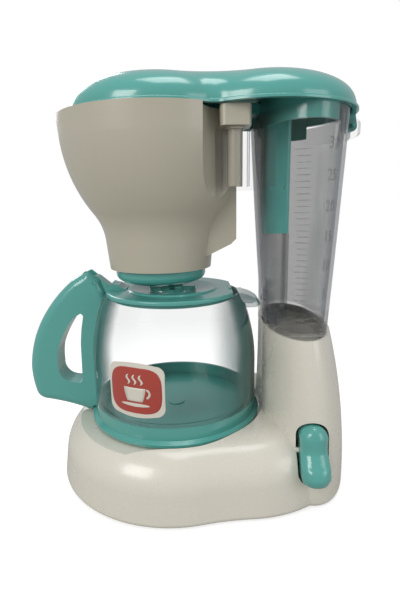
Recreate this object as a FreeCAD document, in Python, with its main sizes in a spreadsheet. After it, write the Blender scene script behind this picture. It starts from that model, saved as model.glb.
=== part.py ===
import FreeCAD, Part
import math
import os
import Sketcher

# Toy coffee maker: a base with a column, a clear water tank, a swinging filter
# basket, a jug with a hinged lid, and one teal lid over tank and basket.
# Frame: +Z up, floor at Z 0, +X to the tank, and the switch side is -Y. The
# sketches count X from the jug's axis; the pieces are written with X 0 at the
# middle of the toy's outline.

doc = FreeCAD.newDocument("toy_coffee_maker")
sheet = doc.addObject("Spreadsheet::Sheet", "Dims")
rows = []


class Size:
    """A named cell, or a sum made from cells: its number and its expression."""

    def __init__(self, value, text):
        self.value = float(value)
        self.text = text

    def __add__(self, other):
        other = as_size(other)
        return Size(self.value + other.value, "(%s + %s)" % (self.text, other.text))

    def __radd__(self, other):
        return as_size(other) + self

    def __sub__(self, other):
        other = as_size(other)
        return Size(self.value - other.value, "(%s - %s)" % (self.text, other.text))

    def __rsub__(self, other):
        return as_size(other) - self

    def __mul__(self, other):
        other = as_size(other)
        return Size(self.value * other.value, "(%s * %s)" % (self.text, other.text))

    def __rmul__(self, other):
        return as_size(other) * self

    def __truediv__(self, other):
        other = as_size(other)
        return Size(self.value / other.value, "(%s / %s)" % (self.text, other.text))

    def __neg__(self):
        return Size(-self.value, "(0 - %s)" % self.text)


def as_size(number):
    if isinstance(number, Size):
        return number
    return Size(number, "(%.6g)" % number if number < 0 else "%.6g" % number)


def root(size):
    return Size(math.sqrt(size.value), "sqrt(%s)" % size.text)


def cell(alias, number):
    """Writes one driving dimension to the sheet."""
    rows.append(alias)
    place = "B%d" % len(rows)
    sheet.set("A%d" % len(rows), alias)
    sheet.set(place, str(number))
    sheet.setAlias(place, alias)
    return Size(number, "Dims." + alias)


# Driving dimensions, in millimetres and degrees

wall = cell("wall", 2.0)
seat_gap = cell("seat_gap", 0.1)
moving_gap = cell("moving_gap", 0.4)
shaft_gap = cell("shaft_gap", 0.06)

# Base housing
base_front_radius = cell("base_front_radius", 73.5)
base_rear_x = cell("base_rear_x", 41.0)
base_rear_radius = cell("base_rear_radius", 68.0)
base_waist_blend = cell("base_waist_blend", 150.0)
base_height = cell("base_height", 40.0)
base_draft = cell("base_draft", 8.0)
base_top_round = cell("base_top_round", 24.0)
base_foot_round = cell("base_foot_round", 2.5)
floor_gap = cell("floor_gap", 1.0)
base_skin = cell("base_skin", 3.0)
recess_radius = cell("recess_radius", 56.5)
recess_depth = cell("recess_depth", 5.0)

# Column between base and tank
column_low_x = cell("column_low_x", 79.0)
column_low_half_x = cell("column_low_half_x", 27.0)
column_low_half_y = cell("column_low_half_y", 58.0)
column_mid_height = cell("column_mid_height", 50.0)
column_mid_x = cell("column_mid_x", 79.0)
column_mid_half_x = cell("column_mid_half_x", 24.6)
column_mid_half_y = cell("column_mid_half_y", 54.0)

# Water tank
tank_foot_height = cell("tank_foot_height", 94.0)
tank_foot_x = cell("tank_foot_x", 75.2)
tank_foot_half_x = cell("tank_foot_half_x", 18.6)
tank_foot_half_y = cell("tank_foot_half_y", 44.5)
tank_rim = cell("tank_rim", 1.6)
tank_mid_height = cell("tank_mid_height", 150.0)
tank_mid_x = cell("tank_mid_x", 75.0)
tank_mid_half_x = cell("tank_mid_half_x", 22.6)
tank_mid_half_y = cell("tank_mid_half_y", 45.6)
tank_top_height = cell("tank_top_height", 214.0)
tank_top_x = cell("tank_top_x", 75.0)
tank_top_half_x = cell("tank_top_half_x", 26.5)
tank_top_half_y = cell("tank_top_half_y", 46.0)
tank_floor = cell("tank_floor", 2.6)
tank_plug = cell("tank_plug", 4.0)

# Water duct at the front of the tank
duct_front_x = cell("duct_front_x", 55.0)
duct_depth = cell("duct_depth", 15.5)
duct_width = cell("duct_width", 17.0)
duct_wall = cell("duct_wall", 1.4)
duct_top = cell("duct_top", 149.0)
duct_inlet = cell("duct_inlet", 6.0)

# Basket hinge
pin_x = cell("pin_x", 36.2)
pin_y = cell("pin_y", 33.5)
pin_radius = cell("pin_radius", 3.9)
socket_half = cell("socket_half", 6.9)
socket_bottom = cell("socket_bottom", 173.5)
socket_top = cell("socket_top", 203.5)
web_thickness = cell("web_thickness", 2.4)
knuckle_half = cell("knuckle_half", 7.8)
knuckle_round = cell("knuckle_round", 3.0)
collar_radius = cell("collar_radius", 5.0)
collar_height = cell("collar_height", 1.2)

# Top lid
rim_height = cell("rim_height", 215.2)
lid_front_x = cell("lid_front_x", 5.0)
lid_front_radius = cell("lid_front_radius", 50.0)
lid_rear_x = cell("lid_rear_x", 56.8)
lid_rear_radius = cell("lid_rear_radius", 50.0)
lid_cap_rise = cell("lid_cap_rise", 19.6)
lid_fullness = cell("lid_fullness", 2.4)
lid_waist = cell("lid_waist", 41.2)
bead_reach = cell("bead_reach", 0.8)
lid_wall = cell("lid_wall", 2.2)
bead_height = cell("bead_height", 1.6)
skirt_depth = cell("skirt_depth", 8.0)
hinge_x = cell("hinge_x", 105.0)
hinge_drop = cell("hinge_drop", 6.4)
lug_radius = cell("lug_radius", 3.4)
lug_inner = cell("lug_inner", 6.0)
lug_width = cell("lug_width", 4.4)
lug_drop = cell("lug_drop", 7.3)
hinge_pin_radius = cell("hinge_pin_radius", 1.2)

# Filter basket
basket_x = cell("basket_x", 6.8)
basket_rim_radius = cell("basket_rim_radius", 55.4)
basket_rim_height = cell("basket_rim_height", 214.6)
basket_upper_radius = cell("basket_upper_radius", 54.4)
basket_upper_height = cell("basket_upper_height", 202.0)
basket_shoulder_radius = cell("basket_shoulder_radius", 38.5)
basket_shoulder_height = cell("basket_shoulder_height", 162.0)
basket_neck_radius = cell("basket_neck_radius", 32.4)
basket_neck_height = cell("basket_neck_height", 145.5)
basket_foot_radius = cell("basket_foot_radius", 30.8)
basket_foot_height = cell("basket_foot_height", 129.8)
basket_belly_radius = cell("basket_belly_radius", 80.0)
basket_waist_radius = cell("basket_waist_radius", 30.0)
basket_back_x = cell("basket_back_x", 38.6)
back_half_width = cell("back_half_width", 15.0)
back_bottom = cell("back_bottom", 144.0)

# Drip cup
cup_radius = cell("cup_radius", 27.4)
cup_bottom_height = cell("cup_bottom_height", 119.2)
cup_floor_radius = cell("cup_floor_radius", 12.4)

# Jug
jug_flange_radius = cell("jug_flange_radius", 54.0)
jug_flange_height = cell("jug_flange_height", 3.4)
jug_radius = cell("jug_radius", 51.6)
jug_band_top = cell("jug_band_top", 47.0)
jug_floor = cell("jug_floor", 3.6)
jug_belly_height = cell("jug_belly_height", 70.0)
jug_shoulder_radius = cell("jug_shoulder_radius", 48.4)
jug_shoulder_height = cell("jug_shoulder_height", 95.0)
jug_neck_radius = cell("jug_neck_radius", 41.6)
jug_top_height = cell("jug_top_height", 113.4)
jug_wall = cell("jug_wall", 1.8)
spout_reach = cell("spout_reach", 54.0)
spout_width = cell("spout_width", 20.0)

# Jug lid
jug_lid_radius = cell("jug_lid_radius", 41.5)
jug_lid_gap = cell("jug_lid_gap", 0.4)
jug_lid_edge = cell("jug_lid_edge", 2.2)
lip_front = cell("lip_front", 36.3)
dish_radius = cell("dish_radius", 27.0)
dish_skin = cell("dish_skin", 1.2)
dish_bead = cell("dish_bead", 0.8)
rib_gap = cell("rib_gap", 1.4)
rib_depth = cell("rib_depth", 2.4)
opening_radius = cell("opening_radius", 13.5)
hub_radius = cell("hub_radius", 7.3)
tongue_half = cell("tongue_half", 4.0)
jug_hinge_x = cell("jug_hinge_x", 47.5)
jug_hinge_rise = cell("jug_hinge_rise", 7.2)
jug_pin_radius = cell("jug_pin_radius", 1.2)

# Handle
handle_width = cell("handle_width", 15.0)
handle_round = cell("handle_round", 5.5)

# Switch
switch_x = cell("switch_x", 77.5)
switch_height = cell("switch_height", 32.5)
switch_width = cell("switch_width", 15.0)
switch_length = cell("switch_length", 33.0)
switch_gap = cell("switch_gap", 1.3)
switch_floor_y = cell("switch_floor_y", 41.5)
switch_axis_y = cell("switch_axis_y", 50.5)
switch_face_y = cell("switch_face_y", 55.0)
switch_pin_radius = cell("switch_pin_radius", 1.5)

# Underside
cover_inset = cell("cover_inset", 4.0)
cover_thickness = cell("cover_thickness", 3.0)
foot_radius = cell("foot_radius", 7.0)
foot_inset = cell("foot_inset", 14.0)
screw_radius = cell("screw_radius", 1.5)
screw_head_radius = cell("screw_head_radius", 3.0)
screw_length = cell("screw_length", 14.0)

# Battery door, cells and pump
door_half_x = cell("door_half_x", 17.0)
door_half_y = cell("door_half_y", 31.0)
door_thickness = cell("door_thickness", 1.8)
door_screw_y = cell("door_screw_y", 27.6)
tray_height = cell("tray_height", 14.0)
cell_radius = cell("cell_radius", 7.0)
cell_length = cell("cell_length", 49.0)
pump_radius = cell("pump_radius", 12.0)
pump_height = cell("pump_height", 24.0)

# Spray arm
arm_height = cell("arm_height", 6.0)
arm_half = cell("arm_half", 6.0)

# Lid skirt and rim
rim_blend = cell("rim_blend", 8.0)
skirt_gap = cell("skirt_gap", 0.7)
skirt_wall = cell("skirt_wall", 1.8)
skirt_rear = cell("skirt_rear", 13.5)

# Basket details
notch_radius = cell("notch_radius", 10.6)
flute_radius = cell("flute_radius", 20.0)
flute_x = cell("flute_x", 39.5)
flute_y = cell("flute_y", 45.0)
rim_shelf = cell("rim_shelf", 3.0)
back_slope = cell("back_slope", 7.0)
drain_radius = cell("drain_radius", 4.0)

# Jug details
cup_wall = cell("cup_wall", 1.7)
shoulder_radius = cell("shoulder_radius", 99.0)
throat_radius = cell("throat_radius", 60.0)
grip_x = cell("grip_x", 92.6)
grip_foot_z = cell("grip_foot_z", 36.0)
head_rise = cell("head_rise", 7.3)
handle_gap = cell("handle_gap", 0.3)
knob_rear = cell("knob_rear", 28.5)
knob_half = cell("knob_half", 6.0)
hose_ease = cell("hose_ease", 0.15)
pump_round = cell("pump_round", 1.5)

# Middle of the toy's outline, counted from the jug's axis

outline_middle_x = cell("outline_middle_x", 8.0)

# Jug sticker
sticker_turn = cell("sticker_turn", 338.0)
sticker_height = cell("sticker_height", 68.5)
sticker_half_x = cell("sticker_half_x", 17.0)
sticker_half_z = cell("sticker_half_z", 14.5)
sticker_skin = cell("sticker_skin", 0.3)

doc.recompute()


# Heights that follow from others

jug_lid_bottom = jug_top_height + jug_lid_gap
jug_hinge_height = jug_lid_bottom + jug_hinge_rise
head_top = jug_hinge_height + head_rise

# Sketch and feature helpers


def bind(obj, path, size):
    obj.setExpression(path, as_size(size).text)


def add_body(label, x=0, y=0, z=0):
    body = doc.addObject("PartDesign::Body", label)
    body.Label = label
    for axis, size in (("x", x), ("y", y), ("z", z)):
        bind(body, ".Placement.Base." + axis, size)
    return body


def plane_of(body, role):
    for item in body.Origin.OriginFeatures:
        if item.Role == role:
            return item


def add_sketch(body, role, offset=0, name="sketch", shift=(0, 0)):
    sketch = body.newObject("Sketcher::SketchObject", body.Label + "_" + name)
    sketch.AttachmentSupport = [(plane_of(body, role), "")]
    sketch.MapMode = "FlatFace"
    bind(sketch, ".AttachmentOffset.Base.x", shift[0])
    bind(sketch, ".AttachmentOffset.Base.y", shift[1])
    bind(sketch, ".AttachmentOffset.Base.z", offset)
    return sketch


def fix_point(sketch, geo, pos, x, y):
    """Holds one sketch point at bound distances from the sketch's origin."""
    for kind, size, axis in (("DistanceX", as_size(x), -2), ("DistanceY", as_size(y), -1)):
        if abs(size.value) < 1e-9 and size.text in ("0", "0.0"):
            sketch.addConstraint(Sketcher.Constraint("PointOnObject", geo, pos, axis))
            continue
        index = sketch.addConstraint(Sketcher.Constraint(kind, -1, 1, geo, pos, size.value))
        bind(sketch, "Constraints[%d]" % index, size)


def fix_value(sketch, kind, geo, size):
    size = as_size(size)
    index = sketch.addConstraint(Sketcher.Constraint(kind, geo, size.value))
    bind(sketch, "Constraints[%d]" % index, size)


def add_outline(sketch, points, arcs=None):
    """Closed outline through points; arcs maps an edge to its radius, minus for a left bow."""
    arcs = arcs or {}
    count = len(points)
    spots = [(as_size(x), as_size(y)) for x, y in points]
    ends = []
    for i in range(count):
        start = FreeCAD.Vector(spots[i][0].value, spots[i][1].value, 0)
        stop = FreeCAD.Vector(spots[(i + 1) % count][0].value, spots[(i + 1) % count][1].value, 0)
        if i not in arcs:
            geo = sketch.addGeometry(Part.LineSegment(start, stop), False)
            ends.append((geo, 1, 2))
            continue
        radius = as_size(arcs[i])
        bow = 1 if radius.value > 0 else -1
        reach = abs(radius.value)
        chord = stop - start
        half = chord.Length / 2
        side = FreeCAD.Vector(-chord.y, chord.x, 0)
        side.normalize()
        middle = (start + stop) * 0.5 + side * (bow * math.sqrt(max(reach * reach - half * half, 0)))
        circle = Part.Circle(middle, FreeCAD.Vector(0, 0, 1), reach)
        first = math.atan2(start.y - middle.y, start.x - middle.x)
        last = math.atan2(stop.y - middle.y, stop.x - middle.x)
        if bow > 0:
            geo = sketch.addGeometry(Part.ArcOfCircle(circle, first, last), False)
            ends.append((geo, 1, 2))
        else:
            geo = sketch.addGeometry(Part.ArcOfCircle(circle, last, first), False)
            ends.append((geo, 2, 1))
        fix_value(sketch, "Radius", geo, radius if bow > 0 else -radius)
    for i in range(count):
        geo, begin, finish = ends[i]
        after = ends[(i + 1) % count]
        sketch.addConstraint(Sketcher.Constraint("Coincident", geo, finish, after[0], after[1]))
    for i in range(count):
        fix_point(sketch, ends[i][0], ends[i][1], points[i][0], points[i][1])


def add_circle(sketch, x, y, radius):
    spot = FreeCAD.Vector(as_size(x).value, as_size(y).value, 0)
    shape = Part.Circle(spot, FreeCAD.Vector(0, 0, 1), as_size(radius).value)
    geo = sketch.addGeometry(shape, False)
    fix_point(sketch, geo, 3, x, y)
    fix_value(sketch, "Radius", geo, radius)


def add_box(sketch, x0, y0, x1, y1):
    add_outline(sketch, [(x0, y0), (x1, y0), (x1, y1), (x0, y1)])


def add_block(sketch, x0, y0, x1, y1, corner):
    """A rectangle with round corners."""
    add_outline(sketch, [
        (x0, y0 + corner), (x0 + corner, y0), (x1 - corner, y0), (x1, y0 + corner),
        (x1, y1 - corner), (x1 - corner, y1), (x0 + corner, y1), (x0, y1 - corner),
    ], {0: corner, 2: corner, 4: corner, 6: corner})


def add_oval(sketch, x, half_x, half_y):
    """An ellipse that is longer across the machine than along it."""
    middle = as_size(x).value
    top = FreeCAD.Vector(middle, as_size(half_y).value, 0)
    side = FreeCAD.Vector(middle - as_size(half_x).value, 0, 0)
    geo = sketch.addGeometry(Part.Ellipse(top, side, FreeCAD.Vector(middle, 0, 0)), False)
    sketch.exposeInternalGeometry(geo)
    fix_point(sketch, geo, 3, x, 0)
    sketch.addConstraint(Sketcher.Constraint("Vertical", geo + 1))
    fix_value(sketch, "Distance", geo + 1, as_size(half_y) * 2)
    fix_value(sketch, "Distance", geo + 2, as_size(half_x) * 2)


def add_lobes(sketch, x0, r0, x1, r1, blend):
    """Two round lobes on the X axis, joined by a blend arc on each side."""
    x0, r0, x1, r1, blend = [as_size(v) for v in (x0, r0, x1, r1, blend)]
    a = r0.value + blend.value
    b = r1.value + blend.value
    span = x1.value - x0.value
    along = (a * a - b * b + span * span) / (2 * span)
    out = math.sqrt(a * a - along * along)
    centre = FreeCAD.Vector(x0.value + along, out, 0)
    low = FreeCAD.Vector(centre.x, -out, 0)
    front = FreeCAD.Vector(x0.value, 0, 0)
    rear = FreeCAD.Vector(x1.value, 0, 0)
    up = FreeCAD.Vector(0, 0, 1)
    angle0 = math.atan2(out, along)
    angle1 = math.atan2(out, along - span)
    geo_front = sketch.addGeometry(
        Part.ArcOfCircle(Part.Circle(front, up, r0.value), angle0, -angle0 + 2 * math.pi), False)
    geo_low = sketch.addGeometry(
        Part.ArcOfCircle(Part.Circle(low, up, blend.value), math.pi - angle1, math.pi - angle0), False)
    geo_rear = sketch.addGeometry(Part.ArcOfCircle(Part.Circle(rear, up, r1.value), -angle1, angle1), False)
    geo_high = sketch.addGeometry(
        Part.ArcOfCircle(Part.Circle(centre, up, blend.value), math.pi + angle0, math.pi + angle1), False)
    tangent = Sketcher.Constraint
    sketch.addConstraint(tangent("Tangent", geo_front, 2, geo_low, 2))
    sketch.addConstraint(tangent("Tangent", geo_low, 1, geo_rear, 1))
    sketch.addConstraint(tangent("Tangent", geo_rear, 2, geo_high, 2))
    sketch.addConstraint(tangent("Tangent", geo_high, 1, geo_front, 1))
    fix_point(sketch, geo_front, 3, x0, 0)
    fix_point(sketch, geo_rear, 3, x1, 0)
    fix_value(sketch, "Radius", geo_front, r0)
    fix_value(sketch, "Radius", geo_rear, r1)
    fix_value(sketch, "Radius", geo_low, blend)
    fix_value(sketch, "Radius", geo_high, blend)


def solid_of(feature):
    doc.recompute()
    if feature.State and "Invalid" in feature.State:
        raise RuntimeError("%s failed" % feature.Label)
    return feature


def pad(body, sketch, length, draft=None, both=False, down=False):
    feature = body.newObject("PartDesign::Pad", sketch.Label + "_pad")
    feature.Profile = sketch
    bind(feature, "Length", length)
    if draft is not None:
        bind(feature, "TaperAngle", draft)
    feature.Midplane = both
    feature.Reversed = down
    sketch.Visibility = False
    return solid_of(feature)


def pocket(body, sketch, length, both=False, up=False, through=False):
    feature = body.newObject("PartDesign::Pocket", sketch.Label + "_pocket")
    feature.Profile = sketch
    if through:
        feature.Type = "ThroughAll"
    else:
        bind(feature, "Length", length)
    feature.Midplane = both
    feature.Reversed = up
    return solid_of(feature)


def turn(body, sketch, cut=False):
    kind = "PartDesign::Groove" if cut else "PartDesign::Revolution"
    feature = body.newObject(kind, sketch.Label + ("_groove" if cut else "_turned"))
    feature.Profile = sketch
    feature.ReferenceAxis = (sketch, ["V_Axis"])
    feature.Angle = 360
    return solid_of(feature)


def loft(body, sketches, cut=False):
    kind = "PartDesign::SubtractiveLoft" if cut else "PartDesign::AdditiveLoft"
    feature = body.newObject(kind, sketches[0].Label + "_loft")
    feature.Profile = sketches[0]
    feature.Sections = sketches[1:]
    feature.Ruled = False
    return solid_of(feature)


def edges_where(shape, test):
    found = []
    for i, edge in enumerate(shape.Edges):
        if test(edge):
            found.append("Edge%d" % (i + 1))
    return found


def round_edges(body, radius, test, name="round"):
    base = body.Tip
    names = edges_where(base.Shape, test)
    if not names:
        raise RuntimeError("no edges to round on " + body.Label)
    feature = body.newObject("PartDesign::Fillet", body.Label + "_" + name)
    feature.Base = (base, names)
    bind(feature, "Radius", radius)
    return solid_of(feature)


def bevel_edges(body, size, test, name="bevel"):
    base = body.Tip
    names = edges_where(base.Shape, test)
    if not names:
        raise RuntimeError("no edges to bevel on " + body.Label)
    feature = body.newObject("PartDesign::Chamfer", body.Label + "_" + name)
    feature.Base = (base, names)
    bind(feature, "Size", size)
    return solid_of(feature)


def flat_at(z, room=0.01):
    def test(edge):
        box = edge.BoundBox
        return abs(box.ZMin - z) < room and abs(box.ZMax - z) < room
    return test


finished = []


def finish(body):
    """Notes a finished piece; it is written out at the end."""
    doc.recompute()
    finished.append(body)
    return body


# Base housing: a drafted two-lobed slab, a lofted column, and the jug's recess

housing = add_body("base_housing")
slab = add_sketch(housing, "XY_Plane", floor_gap, "slab")
add_lobes(slab, 0, base_front_radius, base_rear_x, base_rear_radius, base_waist_blend)
pad(housing, slab, base_height - floor_gap, draft=-base_draft)
round_edges(housing, base_top_round, flat_at(base_height.value), "top_round")

column_low = add_sketch(housing, "XY_Plane", floor_gap, "column_low")
add_oval(column_low, column_low_x, column_low_half_x, column_low_half_y)
column_mid = add_sketch(housing, "XY_Plane", column_mid_height, "column_mid")
add_oval(column_mid, column_mid_x, column_mid_half_x, column_mid_half_y)
column_top = add_sketch(housing, "XY_Plane", tank_foot_height, "column_top")
add_oval(column_top, tank_foot_x, tank_foot_half_x + tank_rim, tank_foot_half_y + tank_rim)
loft(housing, [column_low, column_mid, column_top])
round_edges(housing, base_foot_round, flat_at(floor_gap.value), "foot_round")

recess = add_sketch(housing, "XY_Plane", base_height - recess_depth, "recess")
add_outline(recess, [(0, -recess_radius), (recess_radius, 0), (0, recess_radius),
                     (-base_front_radius, recess_radius), (-base_front_radius, -recess_radius)],
            {0: recess_radius, 1: recess_radius})
pocket(housing, recess, tank_foot_height, up=True)

tank_seat = add_sketch(housing, "XY_Plane", tank_foot_height - tank_plug, "tank_seat")
add_oval(tank_seat, tank_foot_x, tank_foot_half_x + seat_gap, tank_foot_half_y + seat_gap)
pocket(housing, tank_seat, tank_plug * 2, up=True)

switch_well = add_sketch(housing, "XZ_Plane", base_front_radius, "switch_well")
well_half = switch_width / 2 + switch_gap
well_run = switch_length / 2 + switch_gap - well_half
well_low = switch_height - well_run
well_high = switch_height + well_run
add_outline(switch_well, [
    (switch_x - well_half, well_low), (switch_x, well_low - well_half), (switch_x + well_half, well_low),
    (switch_x + well_half, well_high), (switch_x, well_high + well_half), (switch_x - well_half, well_high),
], {0: well_half, 1: well_half, 3: well_half, 4: well_half})
pocket(housing, switch_well, base_front_radius - switch_floor_y)
switch_bore = add_sketch(housing, "YZ_Plane", switch_x, "switch_bore")
add_circle(switch_bore, -switch_axis_y, switch_height, switch_pin_radius + shaft_gap)
pocket(housing, switch_bore, switch_width + 5 + seat_gap * 4, both=True)

bay_roof = base_height - recess_depth - base_skin - 2
bay = add_sketch(housing, "XY_Plane", 0, "bay")
add_lobes(bay, 0, base_front_radius - 18, base_rear_x, base_rear_radius - 18, base_waist_blend)
pocket(housing, bay, bay_roof, up=True)
cover_seat = add_sketch(housing, "XY_Plane", 0, "cover_seat")
cover_front = base_front_radius - cover_inset
cover_rear = base_rear_radius - cover_inset
add_lobes(cover_seat, 0, cover_front + seat_gap, base_rear_x, cover_rear + seat_gap, base_waist_blend)
cover_bottom = floor_gap + 0.6
cover_top = cover_bottom + cover_thickness
pocket(housing, cover_seat, cover_top, up=True)
shaft_low = add_sketch(housing, "XY_Plane", bay_roof - 2, "shaft_low")
add_oval(shaft_low, column_mid_x, tank_foot_half_x - 4, tank_foot_half_y - 10)
shaft_high = add_sketch(housing, "XY_Plane", tank_foot_height - tank_plug - base_skin, "shaft_high")
add_oval(shaft_high, tank_foot_x, tank_foot_half_x - 4, tank_foot_half_y - 10)
loft(housing, [shaft_low, shaft_high], cut=True)

screw_ring = [(base_front_radius - 11, 0, 180), (base_front_radius - 11, 0, 110),
              (base_front_radius - 11, 0, 250), (base_rear_radius - 11, base_rear_x, 55),
              (base_rear_radius - 11, base_rear_x, -55)]
screw_spots = [(x + r * round(math.cos(math.radians(a)), 5), r * round(math.sin(math.radians(a)), 5))
               for r, x, a in screw_ring]
pilot = add_sketch(housing, "XY_Plane", 0, "pilot")
for x, y in screw_spots:
    add_circle(pilot, x, y, screw_radius + shaft_gap)
pocket(housing, pilot, cover_bottom + screw_length + 1, up=True)
duct_x = duct_front_x + duct_depth / 2
hose_hole = add_sketch(housing, "XY_Plane", tank_foot_height, "hose_hole")
hose_radius = duct_wall + duct_inlet / 2
add_circle(hose_hole, duct_x, 0, hose_radius + seat_gap)
pocket(housing, hose_hole, tank_foot_height - bay_roof + 2)
finish(housing)

# Switch: a rocker with a saddle, on a steel pin

rocker = add_body("rocker_switch")
rocker_side = add_sketch(rocker, "YZ_Plane", switch_x, "side")
r_low = switch_height - switch_length / 2
r_high = switch_height + switch_length / 2
inner_y = -(switch_axis_y - 4)
add_outline(rocker_side, [
    (-(switch_face_y + 3), r_low + 1.2), (-(switch_face_y + 9), r_low), (-(switch_face_y + 14), r_low + 5.5),
    (-(switch_face_y + 11.5), r_low + 13), (-(switch_face_y + 6), switch_height + 1.5),
    (-(switch_face_y + 5.5), r_high - 3), (-(switch_face_y + 2), r_high), (inner_y, r_high - 4),
    (inner_y, r_low + 4),
][::-1], {})
pad(rocker, rocker_side, switch_width, both=True)
rocker_face = add_sketch(rocker, "XZ_Plane", 0, "face")
face_half = switch_width / 2
face_low = r_low + face_half
face_high = r_high - face_half
add_box(rocker_face, switch_x - 20, r_low - 10, switch_x + 20, r_high + 10)
add_outline(rocker_face, [
    (switch_x - face_half, face_low), (switch_x, r_low), (switch_x + face_half, face_low),
    (switch_x + face_half, face_high), (switch_x, r_high), (switch_x - face_half, face_high),
], {0: face_half, 1: face_half, 3: face_half, 4: face_half})
pocket(rocker, rocker_face, 200, both=True)
rocker_bore = add_sketch(rocker, "YZ_Plane", switch_x, "bore")
add_circle(rocker_bore, -switch_axis_y, switch_height, switch_pin_radius + shaft_gap)
pocket(rocker, rocker_bore, switch_width + 2, both=True)
finish(rocker)

switch_pin = add_body("switch_pin")
pin_end = add_sketch(switch_pin, "YZ_Plane", switch_x, "end")
add_circle(pin_end, -switch_axis_y, switch_height, switch_pin_radius)
pad(switch_pin, pin_end, switch_width + 5, both=True)
finish(switch_pin)

# Base cover, feet, screws and the battery door underneath

cover = add_body("base_cover")
cover_plan = add_sketch(cover, "XY_Plane", cover_bottom, "plan")
add_lobes(cover_plan, 0, cover_front, base_rear_x, cover_rear, base_waist_blend)
pad(cover, cover_plan, cover_thickness)
cover_holes = add_sketch(cover, "XY_Plane", 0, "holes")
for x, y in screw_spots:
    add_circle(cover_holes, x, y, screw_radius + 0.2)
add_circle(cover_holes, 0, door_screw_y, screw_radius + shaft_gap)
head_seats = add_sketch(cover, "XY_Plane", 0, "head_seats")
for x, y in screw_spots:
    add_circle(head_seats, x, y, screw_head_radius + 0.2)
pocket(cover, head_seats, cover_bottom + 1.2, up=True)
foot_ring = [(base_front_radius - foot_inset, 0, 222.3), (base_front_radius - foot_inset, 0, 137.7),
             (base_rear_radius - foot_inset, base_rear_x, -40), (base_rear_radius - foot_inset, base_rear_x, 40)]
foot_spots = [(x + r * round(math.cos(math.radians(a)), 5), r * round(math.sin(math.radians(a)), 5))
              for r, x, a in foot_ring]
foot_seats = add_sketch(cover, "XY_Plane", 0, "foot_seats")
for x, y in foot_spots:
    add_circle(foot_seats, x, y, foot_radius + 0.1)
pocket(cover, foot_seats, cover_bottom + 1.2, up=True)
door_seat = add_sketch(cover, "XY_Plane", 0, "door_seat")
add_box(door_seat, -door_half_x - 0.3, -door_half_y - 0.3, door_half_x + 0.3, door_half_y + 0.3)
pocket(cover, door_seat, cover_bottom + door_thickness + seat_gap, up=True)
door_hole = add_sketch(cover, "XY_Plane", 0, "door_hole")
add_box(door_hole, -door_half_x + 2, -door_half_y + 2, door_half_x - 2, door_screw_y - 2.7)
pocket(cover, door_hole, cover_top + 5, up=True)
tray = add_sketch(cover, "XY_Plane", cover_top - 0.2, "tray")
add_box(tray, -door_half_x, -door_half_y, door_half_x, door_half_y)
add_box(tray, -door_half_x + 2, -door_half_y + 2, door_half_x - 2, door_half_y - 2)
pad(cover, tray, tray_height)
door_boss = add_sketch(cover, "XY_Plane", cover_top - 0.2, "door_boss")
add_circle(door_boss, 0, door_screw_y, 2.7)
pad(cover, door_boss, screw_length - 1)
pocket(cover, cover_holes, cover_bottom + screw_length + 0.6, up=True)
finish(cover)

feet = add_body("rubber_feet")
foot_plan = add_sketch(feet, "XY_Plane", 0, "plan")
for x, y in foot_spots:
    add_circle(foot_plan, x, y, foot_radius)
pad(feet, foot_plan, cover_bottom + 1.2)
round_edges(feet, 0.8, flat_at(0), "soft")
finish(feet)

screw_places = screw_spots + [(as_size(0), door_screw_y)]
screws = add_body("base_screws")
screw_head = add_sketch(screws, "XY_Plane", cover_bottom + 0.1, "heads")
for x, y in screw_places:
    add_circle(screw_head, x, y, screw_head_radius)
pad(screws, screw_head, 1.1)
screw_shank = add_sketch(screws, "XY_Plane", cover_bottom + 0.1, "shanks")
for x, y in screw_places:
    add_circle(screw_shank, x, y, screw_radius)
pad(screws, screw_shank, screw_length)
screw_slot = add_sketch(screws, "XY_Plane", 0, "slots")
for x, y in screw_places:
    add_box(screw_slot, x - 2.2, y - 0.4, x + 2.2, y + 0.4)
pocket(screws, screw_slot, cover_bottom + 0.7, up=True)
finish(screws)

door = add_body("battery_door")
door_plan = add_sketch(door, "XY_Plane", cover_bottom, "plan")
add_box(door_plan, -door_half_x, -door_half_y, door_half_x, door_half_y)
pad(door, door_plan, door_thickness)
door_grips = add_sketch(door, "XY_Plane", 0, "grips")
for i in range(4):
    add_box(door_grips, -6, -door_half_y + 5 + i * 2.4, 6, -door_half_y + 6 + i * 2.4)
pocket(door, door_grips, cover_bottom + 0.6, up=True)
door_hole_two = add_sketch(door, "XY_Plane", 0, "screw_hole")
add_circle(door_hole_two, 0, door_screw_y, screw_radius + 0.2)
pocket(door, door_hole_two, cover_top + 5, up=True)
door_head = add_sketch(door, "XY_Plane", 0, "screw_head")
add_circle(door_head, 0, door_screw_y, screw_head_radius + 0.2)
pocket(door, door_head, cover_bottom + 1.2, up=True)
finish(door)

batteries = add_body("battery_cells")
cell_end = add_sketch(batteries, "XZ_Plane", 0, "ends")
cell_height = cover_bottom + door_thickness + seat_gap + cell_radius
for side in (-1, 1):
    add_circle(cell_end, (cell_radius + 0.3) * side, cell_height, cell_radius)
pad(batteries, cell_end, cell_length, both=True)
cell_caps = add_sketch(batteries, "XZ_Plane", cell_length / 2, "caps")
add_circle(cell_caps, cell_radius + 0.3, cell_height, 2.6)
add_circle(cell_caps, -(cell_radius + 0.3), cell_height, 2.6)
pad(batteries, cell_caps, 1.2)
finish(batteries)

# Pump on the cover under the tank, with its hose to the duct

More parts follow.
